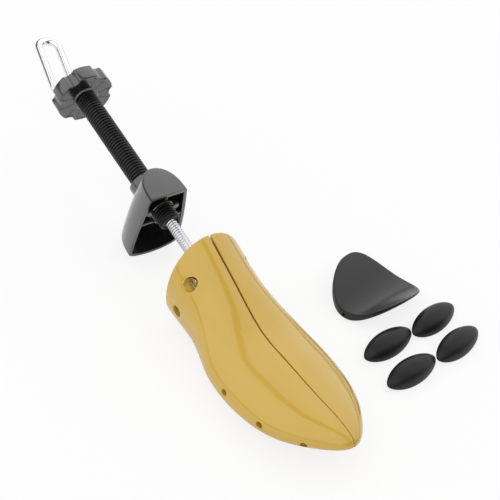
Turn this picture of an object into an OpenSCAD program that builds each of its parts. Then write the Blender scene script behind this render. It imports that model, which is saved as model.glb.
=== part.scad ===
// Two-way shoe stretcher: a split plastic last that a screw-fed wedge spreads,
// and a heel block that a star knob moves along a threaded tube.
// Sizes in millimetres. The toe points to +X, up is +Z, and the floor is z = 0.

/* [Last] */
// Length of the last, from its rear face to the toe
last_length = 168; // [155:1:180]
// Half width of the last at six even stations from rear to toe
half_widths = [30.3, 30.8, 38.8, 40.8, 37.6, 25.3];
// Height of the top of the last at the same six stations
top_heights = [66.5, 50.9, 35.8, 33.7, 33, 35.9];
// Height of the bottom of the last there, before the sole is cut flat
bottom_heights = [-1.5, -1.5, -1.5, -1.5, 1, 8];
// Height of the very tip of the toe
toe_tip_height = 26.5; // [22:0.5:30]
// Thickness of the plastic wall
wall = 3; // [2.5:0.5:3.5]
// Gap between the halves at the rear
seam_gap_rear = 1.8; // [1:0.2:2.4]
// Gap between the halves at the toe
seam_gap_toe = 0.4; // [0.2:0.1:0.8]

/* [Rod and handle] */
// Slope of the rod, falling towards the toe, in degrees
rod_slope = 12.5; // [12:0.5:13]
// Height of the rod's axis over the floor at the rear face of the last
rod_height = 32; // [31:0.5:33]
// Radius of the threaded rod
rod_r = 4; // [4:0.1:4]
// Radius of the handle's wire
wire_r = 3; // [2.5:0.5:3.5]
// Distance between the handle's two legs, centre to centre
hook_span = 16; // [13:1:18]
// Lean of the handle's legs from the rod's axis, in degrees
hook_lean = 12; // [6:1:14]
// Length of the handle's first straight leg
hook_leg = 38.5; // [30:0.5:45]

/* [Length adjuster] */
// Radius of the threaded tube over its crests
tube_r = 8; // [8:0.1:8]
// Radius of the star knob over its lobes
knob_r = 22.8; // [20:0.2:24]
// Thickness of the star knob
knob_t = 12; // [10:0.5:14]
// Number of lobes on the knob
lobe_count = 6; // [5:1:8]

/* [Heel block] */
// Half width of the heel block at its top plate
block_top_half = 15; // [14:0.5:16]
// Half width of the heel block at its widest
block_max_half = 21; // [18:0.5:22]
// Depth of the heel block at its top plate, front to rear
block_top_depth = 26; // [24:0.5:28]
// Depth of the heel block at its deepest
block_max_depth = 27.5; // [26:0.5:30]
// Height of the top plate over the rod's axis
block_rise = 20; // [17:0.5:22]
// Wall of the heel block
block_wall = 2.2; // [1.8:0.2:2.6]

/* [Loose pieces] */
// Half length of a plug's lemon shape, before its back is cut
plug_half_length = 24.5; // [23:0.5:27]
// Radius of a plug's lemon shape
plug_r = 10; // [9:0.5:12]
// Length of the instep pad
pad_length = 66.2; // [60:0.2:70]
// Width of the instep pad
pad_width = 59; // [54:1:64]

/* [Hidden] */
$fn = 64;

yellow = [0.83, 0.65, 0.27];
steel = [0.75, 0.76, 0.78];
black = [0.12, 0.12, 0.13];
brass = [0.76, 0.6, 0.32];

running = 0.08;
face_gap = 0.3;
past = 1;
long_way = 80;

// The last's own frame has its zero this far in front of its rear face.
last_rear = -4.7;

// The whole set is shifted so that the origin is under the middle of its bounding box.
origin_x = -39.138;
origin_y = 61.598;

// Stations along the rod, counted from the zero of the last's frame towards the toe.
tube_front = -51;
knob_front = -179;
knob_back = knob_front - knob_t;
rod_back = -197;
rod_shoulder = 33;
spigot_end = 43;
spigot_r = 3;
wedge_back = rod_shoulder;
wedge_front = 61;
wedge_tip_half = 5;
wedge_ratio = 0.4;
wedge_half_height = 7;
ramp_back = 33;
ramp_front = 69;
block_front = -61;

// Cross pins: place in the last's own frame, radius, and how far they reach each way.
upper_pin = [12, 45];
upper_pin_r = 3;
upper_pin_reach = 20;
lower_pin = [9, 20.5];
lower_pin_r = 2.5;
lower_pin_reach = 22.2;
pin_head_t = 1.2;
upper_head_r = 3.9;
lower_head_r = 3.6;
front_pin = [88.5, 15];
front_pin_r = 3;
front_pin_reach = 24;
guide_start = 8.6;
guide_length = 3.2;
upper_counterbore_r = 5;
lower_counterbore_r = 4.2;
front_bore_spare = 4;

// Screw heads and shanks.
screw_r = 1.5;
screw_head_r = 2.8;
screw_head_t = 1.6;
screw_bore_length = 12;
screw_length = 7;

// Opening in the rear of the last, round the rod.
rod_opening_r = 10.5;

// Plug sockets: place of the mouth on the side of the last, and the turn of its axis.
socket_r = 2.4;
socket_depth = 8;
socket_places = [[81.5, 39.75, 15.5, 4], [115, 36.05, 16.5, 14], [143, 22.6, 19, 38]];
socket_boss_wall = 2.4;

// A smooth curve through evenly spaced values, read at u from 0 to 1.
function clamped(list, i) =
    i < 0 ? 2 * list[0] - list[1]
    : i > len(list) - 1 ? 2 * list[len(list) - 1] - list[len(list) - 2]
    : list[i];
function curve_part(a, b, c, d, f) =
    b + 0.5 * f * (c - a + f * (2 * a - 5 * b + 4 * c - d + f * (3 * (b - c) + d - a)));
function along(list, u) =
    let (
        n = len(list) - 1,
        i = min(floor(u * n), n - 1),
        before = clamped(list, i - 1),
        after = clamped(list, i + 2)
    )
    curve_part(before, clamped(list, i), clamped(list, i + 1), after, u * n - i);

// Cross-section of the last: superellipses above and below a widest line at 42% of the height.
widest_at = 0.42;
upper_power = 2;
lower_power = 2.6;
toe_power = 5;
function round_off(u) = sqrt(max(0, 1 - pow(u, toe_power)));
function middle_z(u) =
    let (plain = along(bottom_heights, u) + widest_at * (along(top_heights, u) - along(bottom_heights, u)))
    plain + (toe_tip_height - plain) * pow(u, toe_power);
function upper_h(u) = (1 - widest_at) * (along(top_heights, u) - along(bottom_heights, u)) * round_off(u);
function lower_h(u) = widest_at * (along(top_heights, u) - along(bottom_heights, u)) * round_off(u);
function seam_y(u) = (seam_gap_rear + (seam_gap_toe - seam_gap_rear) * u) / 2;
function section_point(u, a, inset, inner_y) =
    let (
        power = a > 0 ? upper_power : lower_power,
        height = (a > 0 ? upper_h(u) : lower_h(u)) - inset,
        half = along(half_widths, u) * round_off(u) - inset,
        side = pow(max(0, cos(a)), 2 / power),
        up = sign(sin(a)) * pow(abs(sin(a)), 2 / power)
    )
    [last_rear + u * last_length, inner_y + (half - inner_y) * side, max(inset, middle_z(u) + height * up)];

// Half a lofted body: rings of points from bottom to top, closed by a flat face near y = 0.
module half_loft(stations, angles, inset, inner_edge) {
    n = len(stations);
    m = len(angles);
    points = [
        for (u = stations) for (a = angles)
            section_point(u, a, inset, inner_edge == undef ? seam_y(u) : inner_edge)
    ];
    skin = [
        for (i = [0 : n - 2]) for (j = [0 : m - 1])
            let (k = (j + 1) % m)
            each [
                [i * m + j, (i + 1) * m + k, i * m + k],
                [i * m + j, (i + 1) * m + j, (i + 1) * m + k]
            ]
    ];
    rear_cap = [[for (j = [0 : m - 1]) (j + m - 1) % m]];
    toe_cap = [[for (j = [m - 1 : -1 : 0]) (n - 1) * m + j]];
    polyhedron(points = points, faces = concat(skin, rear_cap, toe_cap), convexity = 4);
}

outer_stations = [for (t = [0 : 4 : 88]) sin(t)];
inner_stations = [for (x = [wall : 9 : 156]) x / last_length];
outer_angles = [for (a = [-90 : 10 : 90]) a];
inner_angles = [for (a = [-90 : 15 : 90]) a];

module last_outer() {
    half_loft(outer_stations, outer_angles, 0, undef);
}

module last_hollow() {
    half_loft(inner_stations, inner_angles, wall, -past);
}

// Frames: the last's own, the rod's (its X runs along the rod), and the side of a half.
module placed() {
    translate([-origin_x, -origin_y, 0]) children();
}

module on_rod() {
    placed() rod_frame() children();
}

module rod_frame() {
    translate([0, 0, rod_height]) rotate([0, rod_slope, 0]) children();
}

module other_side(side) {
    if (side < 0) {
        mirror([0, 1, 0]) children();
    } else {
        children();
    }
}

// A cylinder between two stations on the rod's axis.
module bar(from, to, r) {
    translate([from, 0, 0]) rotate([0, 90, 0]) cylinder(h = to - from, r = r);
}

// A cylinder across the last, at a place [x, z], between two distances from its middle.
module cross(place, from, to, r) {
    translate([place[0], from, place[1]]) rotate([-90, 0, 0]) cylinder(h = to - from, r = r);
}

// A flat outline in the rod's frame, raised between two heights over the axis.
module slab(points, low, high) {
    translate([0, 0, low]) linear_extrude(height = high - low) polygon(points);
}

// Distance of the wedge's face from the middle at a station s, with the halves closed.
function wedge_y(s) = wedge_tip_half + wedge_ratio * (wedge_front - s);
ramp_gap = 0.15;
ramp_t = 3;
ramp_across = ramp_t * sqrt(1 + wedge_ratio * wedge_ratio);
seat_t = 3.6;
function ramp_y(s) = wedge_y(s) + ramp_gap;
ramp_screw_stations = [42, 60];

module socket(place, r, from, to) {
    translate([place[0], place[1], place[2]]) rotate([0, 0, -place[3]]) rotate([-90, 0, 0])
        translate([0, 0, from]) cylinder(h = to - from, r = r);
}

// Ribs and bosses inside a half; the ribs ahead of the frame reach nearly to the middle.
rib_stations = [72, 104, 132];
rib_start = 4;
rib_low = 1;
rib_t = 2.4;
boss_wall = 3;
module inside_ribs() {
    for (x = rib_stations) {
        rib_from = x < front_block_x[1] ? guide_start : rib_start;
        translate([x, rib_from, rib_low]) cube([rib_t, long_way, long_way]);
    }
    cross(upper_pin, guide_start, long_way, upper_pin_r + boss_wall);
    cross(lower_pin, guide_start, long_way, lower_pin_r + boss_wall);
    cross(front_pin, guide_start, long_way, front_pin_r + boss_wall);
    seat_back = ramp_y(ramp_back) + ramp_across;
    seat_front = ramp_y(ramp_front) + ramp_across;
    seat_half_height = wedge_half_height + 1;
    rod_frame() {
        slab([[ramp_back, seat_back], [ramp_front, seat_front], [ramp_front, seat_front + seat_t],
            [ramp_back, seat_back + seat_t]], -seat_half_height, seat_half_height);
        for (low = [-seat_half_height, seat_half_height - rib_t]) {
            slab([[ramp_back, seat_back], [ramp_front, seat_front],
                [ramp_front, long_way], [ramp_back, long_way]], low, low + rib_t);
        }
    }
    for (place = socket_places) {
        socket(place, socket_r + socket_boss_wall, -socket_depth - 2, 0);
    }
}

module half_bores() {
    cross(upper_pin, 0, guide_start + past + guide_length, upper_pin_r + running);
    cross(upper_pin, guide_start + guide_length, long_way, upper_counterbore_r);
    cross(lower_pin, 0, guide_start + past + guide_length, lower_pin_r + running);
    cross(lower_pin, guide_start + guide_length, long_way, lower_counterbore_r);
    cross(front_pin, 0, front_pin_reach + front_bore_spare, front_pin_r + running);
    for (place = socket_places) {
        socket(place, socket_r, -socket_depth, 6);
    }
    rod_frame() {
        bar(-20, rod_shoulder, rod_opening_r);
        ramp_screws(screw_r, screw_bore_length, 0);
    }
}

// Screws through a ramp plate, square to its face; head_r of 0 leaves the heads out.
module ramp_screws(r, length, head_r) {
    for (s = ramp_screw_stations) {
        translate([s, ramp_y(s), 0]) rotate([0, 0, -atan(wedge_ratio)]) rotate([-90, 0, 0]) {
            translate([0, 0, 0.4]) cylinder(h = length, r = r);
            if (head_r > 0) {
                translate([0, 0, 0.4]) cylinder(h = screw_head_t, r = head_r);
            }
        }
    }
}

module last_half(side) {
    color(yellow) placed() other_side(side) difference() {
        last_outer();
        difference() {
            last_hollow();
            inside_ribs();
        }
        half_bores();
    }
}

module ramp_plate(side) {
    color(steel) placed() other_side(side) rod_frame() difference() {
        slab([[ramp_back, ramp_y(ramp_back)], [ramp_front, ramp_y(ramp_front)],
            [ramp_front, ramp_y(ramp_front) + ramp_across], [ramp_back, ramp_y(ramp_back) + ramp_across]],
            -wedge_half_height, wedge_half_height);
        ramp_screws(screw_r, screw_bore_length, screw_head_r);
        for (s = ramp_screw_stations) {
            translate([s, ramp_y(s), 0]) rotate([0, 0, -atan(wedge_ratio)]) rotate([-90, 0, 0])
                translate([0, 0, -past]) cylinder(h = 2 * past, r = screw_head_r);
        }
    }
}

module ramp_screw_set(side) {
    color(steel) placed() other_side(side) rod_frame() ramp_screws(screw_r, screw_length, screw_head_r);
}

// The frame between the halves: nut block, spine and front guide block.
block_x = [3.6, 20.8];
block_z = [7, 48.6];
block_half = 8;
spine_z = [3.6, 7];
spine_half = 5;
front_block_x = [82.5, 94.5];
front_block_top = 21;
nut_bush_r = 6.2;
feed_nut_back = 6;
feed_nut_front = 20;

module nut_block() {
    color(steel) placed() difference() {
        translate([block_x[0], -block_half, block_z[0]])
            cube([block_x[1] - block_x[0], 2 * block_half, block_z[1] - block_z[0]]);
        rod_frame() bar(-20, 60, nut_bush_r);
        cross(upper_pin, -block_half - past, block_half + past, upper_pin_r);
        cross(lower_pin, -block_half - past, block_half + past, lower_pin_r);
        frame_screw_at(frame_screw_x[0], 0);
    }
}

module feed_nut() {
    color(brass) on_rod() difference() {
        bar(feed_nut_back, feed_nut_front, nut_bush_r);
        bar(feed_nut_back - past, feed_nut_front + past, rod_r + running);
    }
}

module spine_bar() {
    color(steel) placed() difference() {
        translate([block_x[0] + 0.4, -spine_half, spine_z[0]])
            cube([front_block_x[1] - block_x[0] - 0.4, 2 * spine_half, spine_z[1] - spine_z[0]]);
        for (x = frame_screw_x) {
            frame_screw_at(x, screw_head_r);
        }
    }
}

module front_guide_block() {
    color(steel) placed() difference() {
        translate([front_block_x[0], -block_half, spine_z[1]])
            cube([front_block_x[1] - front_block_x[0], 2 * block_half, front_block_top - spine_z[1]]);
        cross(front_pin, -block_half - past, block_half + past, front_pin_r);
        frame_screw_at(frame_screw_x[1], 0);
    }
}

frame_screw_x = [16.5, 91.5];
module frame_screw_at(x, head_r) {
    translate([x, 0, spine_z[0]]) {
        cylinder(h = 8, r = screw_r);
        if (head_r > 0) {
            cylinder(h = screw_head_t, r = head_r);
        }
    }
}

module frame_screws() {
    color(steel) placed() {
        for (x = frame_screw_x) {
            frame_screw_at(x, screw_head_r);
        }
    }
}

// A cross pin with a flat head at each end, slotted for a driver.
module headed_pin(place, reach, r, head_r) {
    color(steel) placed() difference() {
        union() {
            cross(place, -reach, reach, r);
            cross(place, reach, reach + pin_head_t, head_r);
            cross(place, -reach - pin_head_t, -reach, head_r);
        }
        for (side = [-1, 1]) {
            translate([place[0] - head_r - past, side * (reach + pin_head_t) - 0.8, place[1] - 0.6])
                cube([2 * (head_r + past), 1.6, 1.2]);
        }
    }
}

module guide_pin_upper() {
    headed_pin(upper_pin, upper_pin_reach, upper_pin_r, upper_head_r);
}

module guide_pin_lower() {
    headed_pin(lower_pin, lower_pin_reach, lower_pin_r, lower_head_r);
}

module guide_pin_front() {
    color(steel) placed() cross(front_pin, -front_pin_reach, front_pin_reach, front_pin_r);
}

module spreader_wedge() {
    color(steel) on_rod() difference() {
        slab([[wedge_back, -wedge_y(wedge_back)], [wedge_front, -wedge_tip_half],
            [wedge_front, wedge_tip_half], [wedge_back, wedge_y(wedge_back)]],
            -wedge_half_height, wedge_half_height);
        bar(wedge_back - past, 40, spigot_r + running);
        translate([39, -6, -5]) cube([8, 12, wedge_half_height + 6]);
    }
}

module tip_ring() {
    color(steel) on_rod() difference() {
        bar(39.3, 40.5, 4.6);
        bar(39, 41, spigot_r);
    }
}

module steel_rod() {
    color(steel) on_rod() union() {
        bar(rod_back, rod_shoulder - face_gap, rod_r);
        bar(rod_shoulder - face_gap, spigot_end, spigot_r);
    }
}

// Hook handle: a leg that leans off the axis, a half-round bend and a leg back to the knob.
module hook_handle() {
    bend_r = hook_span / 2;
    hook_offset = -2;
    hook_roll = -6;
    leg_root = 4;
    free_end = 6.1;
    color(steel) on_rod() intersection() {
        rotate([hook_roll, 0, 0]) translate([rod_back, hook_offset, 0]) rotate([0, 0, -hook_lean]) union() {
            bar(-hook_leg, leg_root, wire_r);
            translate([0, -hook_span, 0]) bar(-hook_leg, free_end, wire_r);
            translate([free_end, -hook_span, 0]) sphere(r = wire_r);
            translate([-hook_leg, -bend_r, 0]) rotate([0, 0, 90])
                rotate_extrude(angle = 180) translate([bend_r, 0]) circle(r = wire_r);
        }
        union() {
            translate([rod_back - long_way, -long_way, -long_way / 2])
                cube([long_way, 2 * long_way, long_way]);
            translate([rod_back - past, -long_way, -long_way / 2])
                cube([long_way, long_way - hook_span / 2, long_way]);
        }
    }
}

module rear_collar() {
    color(steel) on_rod() difference() {
        bar(rod_back, knob_back - face_gap, 7);
        bar(rod_back - past, knob_back, rod_r);
    }
}

// The front collar sits in a counterbore in the tube's mouth.
collar_seat = -58;
collar_back = collar_seat + face_gap;
collar_recess = 2.5;
collar_r = 6;
module front_collar() {
    color(steel) on_rod() difference() {
        bar(collar_back, tube_front - collar_recess, collar_r);
        bar(collar_back - past, tube_front, rod_r);
    }
}

module adjusting_knob() {
    notch_r = 6;
    notch_depth = 2.5;
    first_notch = 32;
    color(black) on_rod() difference() {
        union() {
            translate([knob_back, 0, 0]) rotate([0, 90, 0]) linear_extrude(height = knob_t) difference() {
                circle(r = knob_r);
                for (i = [0 : lobe_count - 1]) {
                    rotate(first_notch + i * 360 / lobe_count)
                        translate([knob_r + notch_r - notch_depth, 0]) circle(r = notch_r);
                }
            }
            bar(knob_front, knob_front + 1.5, 10.5);
        }
        bar(knob_back - past, knob_front + 3, tube_r);
    }
}

// Half the tube's outline: rings the size of the thread stand for its turns.
thread_pitch = 2.5;
thread_depth = 0.9;
thread_start = knob_front + 2;
thread_turns = floor((tube_front - thread_start) / thread_pitch);
thread_ring = [[0, 0], [0.75, thread_depth], [1.5, thread_depth], [2.25, 0]];
tube_root_r = tube_r - thread_depth;
tube_outline = concat(
    [[0, knob_back], [tube_r, knob_back], [tube_r, thread_start - thread_depth]],
    [for (i = [0 : thread_turns - 1]) for (p = thread_ring)
        [tube_root_r + p[1], thread_start + i * thread_pitch + p[0]]],
    [[tube_root_r, tube_front], [0, tube_front]]
);
module threaded_tube() {
    color(black) on_rod() difference() {
        rotate([0, 90, 0]) rotate_extrude() polygon(tube_outline);
        bar(knob_back - past, tube_front + past, rod_r + running);
        bar(knob_back + 8, collar_seat - 8, rod_r + 0.6);
        bar(collar_seat, tube_front + past, collar_r + running);
    }
}

// Heel block: levels from its top plate down to its rounded bottom, in the rod's frame.
block_bottom = -(rod_height - block_front * sin(rod_slope)) / cos(rod_slope);
block_height = block_rise - block_bottom;
block_round = 7;
block_heel_round = 10;
block_roundness = 2.6;
block_squareness = 0.75;
function block_half_at(h) =
    let (
        v = (block_rise - h) / block_height,
        plain = block_top_half + (block_max_half - block_top_half) * sin(min(1, v / 0.86) * 90),
        low = max(0, block_round - (h - block_bottom)) / block_round
    )
    plain * sqrt(max(0, 1 - low * low));
function block_depth_at(h) =
    let (
        v = (block_rise - h) / block_height,
        plain = block_top_depth + (block_max_depth - block_top_depth) * sin(min(1, v / 0.57) * 90),
        low = max(0, block_heel_round - (h - block_bottom)) / block_heel_round
    )
    plain * pow(max(0, 1 - pow(low, block_roundness)), 1 / block_roundness);
block_levels = concat([for (i = [0 : 6]) i / 7 * 0.72], [for (a = [0 : 12 : 84]) 0.72 + 0.28 * sin(a)]);
function block_ring(h, inset) =
    let (
        half = max(0.4, block_half_at(h) - inset),
        depth = max(0.8, block_depth_at(h) - inset)
    )
    [for (a = [0 : 15 : 180]) [block_front - depth * pow(sin(a), block_squareness), -half * cos(a), h]];

module block_loft(inset, low_inset, front) {
    heights = [
        for (v = block_levels)
            let (h = block_rise - inset - v * (block_height - inset - low_inset)) h
    ];
    rings = [for (h = heights) ring_with_front(block_ring(h, inset), front)];
    m = len(rings[0]);
    n = len(rings);
    points = [for (r = rings) each r];
    skin = [
        for (i = [0 : n - 2]) for (j = [0 : m - 1])
            let (k = (j + 1) % m)
            each [
                [i * m + j, (i + 1) * m + j, (i + 1) * m + k],
                [i * m + j, (i + 1) * m + k, i * m + k]
            ]
    ];
    polyhedron(
        points = points,
        faces = concat(skin, [[for (j = [0 : m - 1]) j]], [[for (j = [m - 1 : -1 : 0]) (n - 1) * m + j]]),
        convexity = 4
    );
}
function ring_with_front(ring, front) =
    front == block_front ? ring
    : concat([[front, ring[0][1], ring[0][2]]], ring, [[front, ring[len(ring) - 1][1], ring[0][2]]]);

nut_outer_r = 11;
nut_back = -91.5;
// Shelves inside the block: height over the rod's axis, and distance behind the front.
block_shelves = [[-9, 1], [-24, 14]];
block_shelf_t = 1.8;
block_web_low = 8;
module heel_block() {
    color(black) on_rod() difference() {
        union() {
            difference() {
                block_loft(0, 0, block_front);
                block_loft(block_wall, block_wall, block_front + 2);
            }
            intersection() {
                block_loft(0, 0, block_front);
                union() {
                    for (shelf = block_shelves) {
                        translate([block_front - long_way, -long_way / 2, shelf[0]])
                            cube([long_way - shelf[1], long_way, block_shelf_t]);
                    }
                    translate([block_front - long_way, -block_shelf_t / 2, block_web_low])
                        cube([long_way - block_shelves[0][1], block_shelf_t, long_way]);
                }
            }
        }
        bar(nut_back - past, 0, nut_outer_r);
    }
}

module heel_nut() {
    color(black) on_rod() difference() {
        bar(nut_back, block_front - 2, nut_outer_r);
        bar(nut_back - past, block_front, tube_r + running);
    }
}

// Instep pad: a saddle that is thick at its narrow end, made of two curved sheets and a rim.
pad_rings = 6;
pad_steps = 36;
pad_squareness = [0.91, 0.85];
pad_taper = 0.17;
pad_thin = 2.4;
pad_rise = 4.4;
pad_flattening = 0.48;
function pad_edge(a) =
    let (power = pad_squareness[cos(a) > 0 ? 1 : 0])
    [
        pad_length / 2 * sign(cos(a)) * pow(abs(cos(a)), power),
        pad_width / 2 * sign(sin(a)) * pow(abs(sin(a)), power) * (1 + pad_taper * cos(a))
    ];
function pad_forward(p) = max(0, min(1, p[0] / pad_length + 0.5));
function pad_bottom(p) = p[1] * p[1] / 40 * (1 - pad_flattening * pad_forward(p));
function pad_top(p) =
    pad_thin + pad_rise * pow(1 - pad_forward(p), 0.85)
    + p[1] * p[1] / 44 * (1 - pad_flattening * pad_forward(p));
pad_place = [45.5, 117.3, 103.5];
module instep_pad() {
    flat = [
        for (k = [1 : pad_rings]) for (j = [0 : pad_steps - 1])
            pad_edge(j * 360 / pad_steps) * k / pad_rings
    ];
    count = pad_rings * pad_steps;
    points = concat(
        [for (p = flat) [p[0], p[1], pad_top(p)]], [for (p = flat) [p[0], p[1], pad_bottom(p)]],
        [[0, 0, pad_top([0, 0])], [0, 0, pad_bottom([0, 0])]]
    );
    sheets = [
        for (k = [0 : pad_rings - 2]) for (j = [0 : pad_steps - 1])
            let (
                a = k * pad_steps + j,
                b = k * pad_steps + (j + 1) % pad_steps,
                c = b + pad_steps,
                d = a + pad_steps,
                upper = [[a, b, c], [a, c, d]],
                lower = [[count + a, count + c, count + b], [count + a, count + d, count + c]]
            )
            each concat(upper, lower)
    ];
    middle = [
        for (j = [0 : pad_steps - 1])
            let (k = (j + 1) % pad_steps)
            each [[2 * count, k, j], [2 * count + 1, count + j, count + k]]
    ];
    rim = [
        for (j = [0 : pad_steps - 1])
            let (a = (pad_rings - 1) * pad_steps + j, b = (pad_rings - 1) * pad_steps + (j + 1) % pad_steps)
            each [[a, b, count + b], [a, count + b, count + a]]
    ];
    color(black) placed() translate([pad_place[0], pad_place[1], 0]) rotate(pad_place[2]) difference() {
        polyhedron(points = points, faces = concat(sheets, middle, rim), convexity = 4);
        translate([-pad_length / 2 - past, 0, 3.4]) rotate([0, 90, 0]) cylinder(h = 12, r = 1.2);
    }
}

// Plug: half a lemon with a round peg on its flat back, resting on the peg and its rim.
plug_cut = 1.2;
peg_r = 2.3;
peg_length = 3.6;
plug_arc = (plug_half_length * plug_half_length + plug_r * plug_r) / (2 * plug_r);
plug_back_half = sqrt(plug_r * plug_r - plug_cut * plug_cut);
plug_tilt = atan(peg_length / (plug_back_half - peg_r));
plug_places = [[89, 140.2, -79.8], [115.8, 139.2, -79.2], [92.1, 94, -83], [120, 91.7, -84.3]];
module plug(i) {
    place = plug_places[i];
    color(black) placed() translate([place[0], place[1], plug_back_half * sin(plug_tilt)]) rotate(place[2])
        rotate([-plug_tilt, 0, 0]) union() {
            intersection() {
                translate([0, 0, -plug_cut]) rotate([0, 90, 0]) rotate_extrude() intersection() {
                    translate([plug_r - plug_arc, 0]) circle(r = plug_arc);
                    translate([0, -plug_half_length]) square([plug_r, 2 * plug_half_length]);
                }
                translate([-long_way, -long_way, 0]) cube([2 * long_way, 2 * long_way, long_way]);
            }
            translate([0, 0, -peg_length]) cylinder(h = peg_length + past, r = peg_r);
        }
}

last_half(1);  // last_half_left
last_half(-1);  // last_half_right
ramp_plate(1);  // ramp_plate_left
ramp_plate(-1);  // ramp_plate_right
ramp_screw_set(1);  // ramp_screws_left
ramp_screw_set(-1);  // ramp_screws_right
nut_block();
feed_nut();
spine_bar();
front_guide_block();
guide_pin_upper();
guide_pin_lower();
guide_pin_front();
frame_screws();
spreader_wedge();
tip_ring();
steel_rod();
hook_handle();
rear_collar();
front_collar();
adjusting_knob();
threaded_tube();
heel_block();
heel_nut();
instep_pad();
plug(0);  // plug_1
plug(1);  // plug_2
plug(2);  // plug_3
plug(3);  // plug_4
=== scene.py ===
"""Visual model of a two-way shoe stretcher: split last, screw, wedge, star knob, heel block and loose pieces.

Lengths inside the classes are in millimetres. Every mesh is moved into metres and into the shared frame.
"""

import logging
import math
from dataclasses import dataclass, field
from enum import Enum
from typing import Callable, Sequence

import bmesh
import bpy
from mathutils import Matrix, Vector


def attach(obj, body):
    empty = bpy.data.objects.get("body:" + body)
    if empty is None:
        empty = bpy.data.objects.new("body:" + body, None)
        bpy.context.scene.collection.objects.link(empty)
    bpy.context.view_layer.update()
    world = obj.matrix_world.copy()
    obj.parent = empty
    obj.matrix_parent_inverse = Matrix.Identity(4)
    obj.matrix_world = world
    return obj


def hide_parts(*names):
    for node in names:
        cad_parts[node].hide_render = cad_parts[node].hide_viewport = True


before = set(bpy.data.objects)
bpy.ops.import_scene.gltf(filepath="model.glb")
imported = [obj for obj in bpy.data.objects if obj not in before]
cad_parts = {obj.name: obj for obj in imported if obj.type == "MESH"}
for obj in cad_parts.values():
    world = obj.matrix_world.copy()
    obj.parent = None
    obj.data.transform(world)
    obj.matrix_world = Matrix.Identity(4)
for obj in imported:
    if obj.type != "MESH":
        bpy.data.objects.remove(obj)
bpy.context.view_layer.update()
LOG = logging.getLogger("shoe_stretcher")

MM = 0.001
MERGE = 1e-4
Point = tuple[float, float, float]
Pair = tuple[float, float]
Hole = tuple[float, float, float, float, float, float]
WHITE = (1.0, 1.0, 1.0, 1.0)


class Side(Enum):
    """A half of the last: the sign of its Y."""

    LEFT = 1
    RIGHT = -1


class Shading(Enum):
    """How a mesh is shaded: the angle in degrees past which an edge stays sharp."""

    SOFT = 60.0
    CRISP = 32.0


class Gradient(Enum):
    """Directions along which a finish may be streaked."""

    NONE = (1.0, 1.0, 1.0)
    LENGTHWISE = (0.12, 1.0, 1.0)


@dataclass(frozen=True)
class Placement:
    """Where the stretcher stands in the shared frame, and how its rod lies.

    The last's own frame has x from its rear face to the toe, y from its mid-plane and z from the floor.
    The rod's frame has its first axis along the rod and its third across it, upwards.
    """

    shift_x: float = 39.138
    shift_y: float = -61.598
    rod_height: float = 32.0
    rod_slope: float = 12.5

    def last(self) -> Matrix:
        """Returns the matrix from the last's frame in millimetres to the shared frame in metres."""
        return Matrix.Scale(MM, 4) @ Matrix.Translation((self.shift_x, self.shift_y, 0.0))

    def rod(self) -> Matrix:
        """Returns the matrix from the rod's frame in millimetres to the shared frame in metres."""
        turn = Matrix.Rotation(math.radians(self.rod_slope), 4, "Y")
        return self.last() @ Matrix.Translation((0.0, 0.0, self.rod_height)) @ turn


PLACE = Placement()


# Finishes


def fill(node: bpy.types.Node, values: dict[str, object]) -> bpy.types.Node:
    """Sets some sockets of a node, and returns the node."""
    for socket, value in values.items():
        node.inputs[socket].default_value = value
    return node


@dataclass(frozen=True)
class Finish:
    """A procedural material: its colour varies a little, and its roughness and surface come from noise.

    Attributes:
        name: the material's name.
        color: the main colour, linear.
        tint: the colour that it drifts to.
        metallic: 0 for plastic, 1 for metal.
        roughness: the two ends of the roughness.
        grain: size of the fine surface grain, in grains per metre.
        bump: height of the grain, in metres.
        coat: weight of the clear glossy layer.
        streak: how the slow variation is stretched.
        drift: size of the slow variation, in waves per metre.
    """

    name: str
    color: Point
    tint: Point
    metallic: float = 0.0
    roughness: Pair = (0.3, 0.4)
    grain: float = 900.0
    bump: float = 0.00002
    coat: float = 0.0
    coat_roughness: float = 0.06
    streak: Gradient = Gradient.NONE
    drift: float = 30.0
    ior: float = 1.46

    def build(self) -> bpy.types.Material:
        """Returns the material, made once and shared by every piece with this finish."""
        known = bpy.data.materials.get(self.name)
        if known:
            return known
        material = bpy.data.materials.new(self.name)
        material.use_nodes = True
        nodes, links = material.node_tree.nodes, material.node_tree.links
        shader = fill(nodes["Principled BSDF"], {"Metallic": self.metallic, "IOR": self.ior,
                                                 "Coat Weight": self.coat, "Coat Roughness": self.coat_roughness})
        place = nodes.new("ShaderNodeTexCoord")
        stretch = fill(nodes.new("ShaderNodeMapping"), {"Scale": self.streak.value})
        links.new(place.outputs["Object"], stretch.inputs["Vector"])
        slow = fill(nodes.new("ShaderNodeTexNoise"), {"Scale": self.drift, "Detail": 3.0})
        links.new(stretch.outputs["Vector"], slow.inputs["Vector"])
        ramp = nodes.new("ShaderNodeValToRGB")
        for stop, position, color in zip(ramp.color_ramp.elements, (0.3, 0.7), (self.color, self.tint)):
            stop.position = position
            stop.color = (*color, 1.0)
        links.new(slow.outputs["Fac"], ramp.inputs["Fac"])
        links.new(ramp.outputs["Color"], shader.inputs["Base Color"])
        fine = fill(nodes.new("ShaderNodeTexNoise"), {"Scale": self.grain, "Detail": 2.0})
        links.new(place.outputs["Object"], fine.inputs["Vector"])
        spread = fill(nodes.new("ShaderNodeMapRange"), {"To Min": self.roughness[0], "To Max": self.roughness[1]})
        links.new(fine.outputs["Fac"], spread.inputs["Value"])
        links.new(spread.outputs["Result"], shader.inputs["Roughness"])
        bump = fill(nodes.new("ShaderNodeBump"), {"Distance": self.bump, "Strength": 1.0})
        links.new(fine.outputs["Fac"], bump.inputs["Height"])
        links.new(bump.outputs["Normal"], shader.inputs["Normal"])
        return material


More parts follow.
